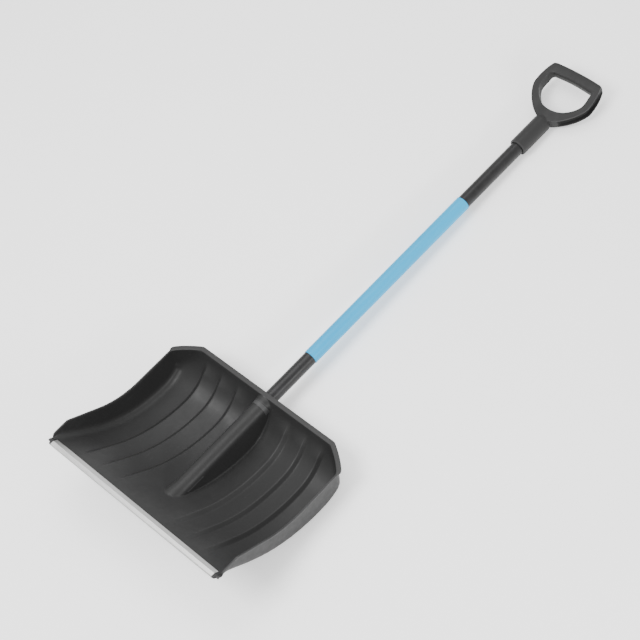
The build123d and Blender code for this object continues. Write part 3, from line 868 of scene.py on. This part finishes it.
def moulded_plastic(name, dark, light, edge, roughness, gloss=0.4):
    """Grained polypropylene: cloudy flow marks, faint scuffs, and a painted highlight along raised
    edges.
    """
    finish = Finish(name, gloss=gloss)
    flow = finish.noise(9, 4, (1, 0.35, 1))
    base = finish.colours(flow, (0.3, (dark,) * 3), (0.72, (light,) * 3))
    scuffs = finish.spread(finish.noise(160, 5, (1, 0.08, 1)), 0, 0.35, (0.62, 0.78))
    base = finish.blend(scuffs, base, (edge * 0.8,) * 3)
    # painted highlight: raised edges are painted lighter in the edge grey, standing in for the
    # light their rounding catches
    base = finish.blend(finish.edges(0.508, 0.57), base, (edge, edge, edge * 1.01))
    low, high = roughness
    finish.use(base, finish.spread(finish.noise(70, 4), low, high))
    finish.bumps((finish.noise(55, 3), 0.0002, 0.2), (finish.noise(1700, 2), 0.00012, 0.35))
    return finish.material


def powder_coat():
    """Satin black paint on metal, with orange peel and a few dull rub marks along the tube."""
    finish = Finish("tube_powder_coat", gloss=0.3)
    base = finish.colours(finish.noise(30, 3), (0.3, (0.009,) * 3), (0.7, (0.014, 0.014, 0.0145)))
    rubs = finish.spread(finish.noise(220, 4, (1, 0.03, 1)), 0, 0.4, (0.64, 0.8))
    finish.use(finish.blend(rubs, base, (0.035, 0.035, 0.036)),
               finish.spread(finish.noise(120, 3), 0.3, 0.42))
    finish.bumps((finish.noise(420, 2), 0.0001, 0.18), (finish.noise(2400, 2), 0.00006, 0.25))
    return finish.material


def sleeve_film():
    """Satin blue plastic sleeve, a little cloudy, with fine lines along the tube."""
    finish = Finish("sleeve_satin_blue", gloss=0.2)
    base = finish.colours(finish.noise(16, 3, (1, 0.2, 1)),
                          (0.3, (0.003, 0.28, 0.54)), (0.7, (0.005, 0.33, 0.60)))
    lines = finish.spread(finish.noise(500, 3, (1, 0.01, 1)), 0, 0.3, (0.55, 0.75))
    finish.use(finish.blend(lines, base, (0.02, 0.38, 0.62)),
               finish.spread(finish.noise(90, 3), 0.28, 0.4))
    finish.bumps((finish.noise(300, 2, (1, 0.04, 1)), 0.00008, 0.2),
                 (finish.noise(1900, 2), 0.00006, 0.25))
    return finish.material


def brushed_aluminium():
    """Aluminium brushed along its length, with duller scratches."""
    finish = Finish("edge_brushed_aluminium", metallic=1.0)
    brush = finish.noise(1500, 4, (0.012, 1, 1))
    base = finish.colours(brush, (0.3, (0.48, 0.48, 0.475)), (0.7, (0.62, 0.62, 0.61)))
    wear = finish.spread(finish.noise(130, 5, (0.3, 1, 1)), 0, 0.5, (0.6, 0.78))
    finish.use(finish.blend(wear, base, (0.42, 0.42, 0.41)), finish.spread(brush, 0.3, 0.46))
    finish.bumps((brush, 0.00005, 0.3), (finish.noise(60, 3), 0.0001, 0.12))
    return finish.material


def zinc_steel(name):
    """Zinc-plated steel with a faint yellow cast in places."""
    finish = Finish(name, metallic=1.0)
    cloud = finish.noise(260, 4)
    base = finish.colours(cloud, (0.35, (0.50, 0.50, 0.52)), (0.65, (0.62, 0.60, 0.54)))
    finish.use(base, finish.spread(finish.noise(700, 3), 0.28, 0.5))
    finish.bumps((finish.noise(900, 3), 0.00005, 0.3), (cloud, 0.00004, 0.2))
    return finish.material


def studio_paper():
    """Matt white paper with a barely visible tooth."""
    finish = Finish("studio_paper")
    tone = finish.noise(3, 3)
    finish.use(finish.colours(tone, (0.3, (0.90,) * 3), (0.7, (0.92,) * 3)),
               finish.spread(finish.noise(40, 3), 0.8, 0.95))
    finish.bumps((finish.noise(900, 2), 0.00005, 0.1))
    finish.shader.inputs["Emission Color"].default_value = (1, 1, 1, 1)
    finish.shader.inputs["Emission Strength"].default_value = PAPER_GLOW
    return finish.material


def dress(piece, node, material):
    """Gives a new piece its material, says what it rides on, and hides the CAD node it replaces.
    """
    piece.data.materials.clear()
    piece.data.materials.append(material)
    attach(piece, "root")
    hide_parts(node)


def refinish(node, material):
    """Gives a CAD node that stays its better material."""
    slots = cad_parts[node].data.materials
    slots.clear()
    slots.append(material)


# the third value is the grey of the scuffs and of the painted highlight on raised edges
dress(blade, "blade",
      moulded_plastic("blade_plastic_moulded", 0.017, 0.0225, 0.045, (0.40, 0.50), 0.22))
dress(grip, "d_grip",
      moulded_plastic("grip_plastic_moulded", 0.019, 0.025, 0.06, (0.44, 0.56), 0.2))
refinish("wear_strip", brushed_aluminium())
refinish("shaft_tube", powder_coat())
refinish("shaft_sleeve", sleeve_film())
refinish("tube_foot_plug",
         moulded_plastic("plug_plastic_moulded", 0.012, 0.018, 0.05, (0.5, 0.65)))
for screw in ("wear_strip_screws", "blade_screws", "blade_screw_washers", "grip_screw"):
    refinish(screw, zinc_steel(screw + "_zinc"))

# ---- stage ----------------------------------------------------------------------------------
far = FLOOR_HALF_SIZE
floor_mesh = bpy.data.meshes.new("floor")
floor_mesh.from_pydata([(-far, -far, 0), (far, -far, 0), (far, far, 0), (-far, far, 0)], [],
                       [(0, 1, 2, 3)])
floor = bpy.data.objects.new("floor", floor_mesh)
bpy.context.scene.collection.objects.link(floor)
floor.data.materials.append(studio_paper())

camera = bpy.data.objects.new("camera", bpy.data.cameras.new("camera"))
bpy.context.scene.collection.objects.link(camera)
bpy.context.scene.camera = camera
camera.data.sensor_width = SENSOR_WIDTH
camera.data.lens = FOCAL_LENGTH
back = aim(CAMERA_BACK).normalized()
up = back.cross(aim(CAMERA_RIGHT).normalized()).normalized()
right = up.cross(back)
turn = Matrix((right, up, back)).transposed().to_4x4()
camera.matrix_world = Matrix.Translation(Vector(lay(CAMERA_PLACE)[0])) @ turn
camera.data.clip_end = 100


def softbox(name, place, target, width, height, power):
    """A rectangular light at a place, turned to its target."""
    light = bpy.data.objects.new(name, bpy.data.lights.new(name, "AREA"))
    bpy.context.scene.collection.objects.link(light)
    light.data.shape = "RECTANGLE"
    light.data.size, light.data.size_y = width, height
    light.data.energy = power
    light.location = place
    light.rotation_mode = "QUATERNION"
    light.rotation_quaternion = (Vector(target) - Vector(place)).to_track_quat("-Z", "Y")


def from_direction(name, direction, distance, width, height, power):
    """A softbox that lights the shovel from a direction given along the tube's axes."""
    place = aim(direction).normalized() * distance + Vector(LIT_PLACE)
    softbox(name, place, LIT_PLACE, width, height, power)


from_direction("side_light", (0.93, -0.1, 0.36), 3.0, 2.6, 0.3, 60)
from_direction("front_light", (-0.12, -0.52, 0.85), 3.2, 1.3, 1.3, 95)
from_direction("top_light", (-0.25, 0.2, 0.95), 3.0, 2.0, 2.0, 45)
world = bpy.data.worlds.new("studio")
bpy.context.scene.world = world
world.use_nodes = True
background = world.node_tree.nodes["Background"]
background.inputs["Color"].default_value = (1, 1, 1, 1)
background.inputs["Strength"].default_value = WORLD_STRENGTH
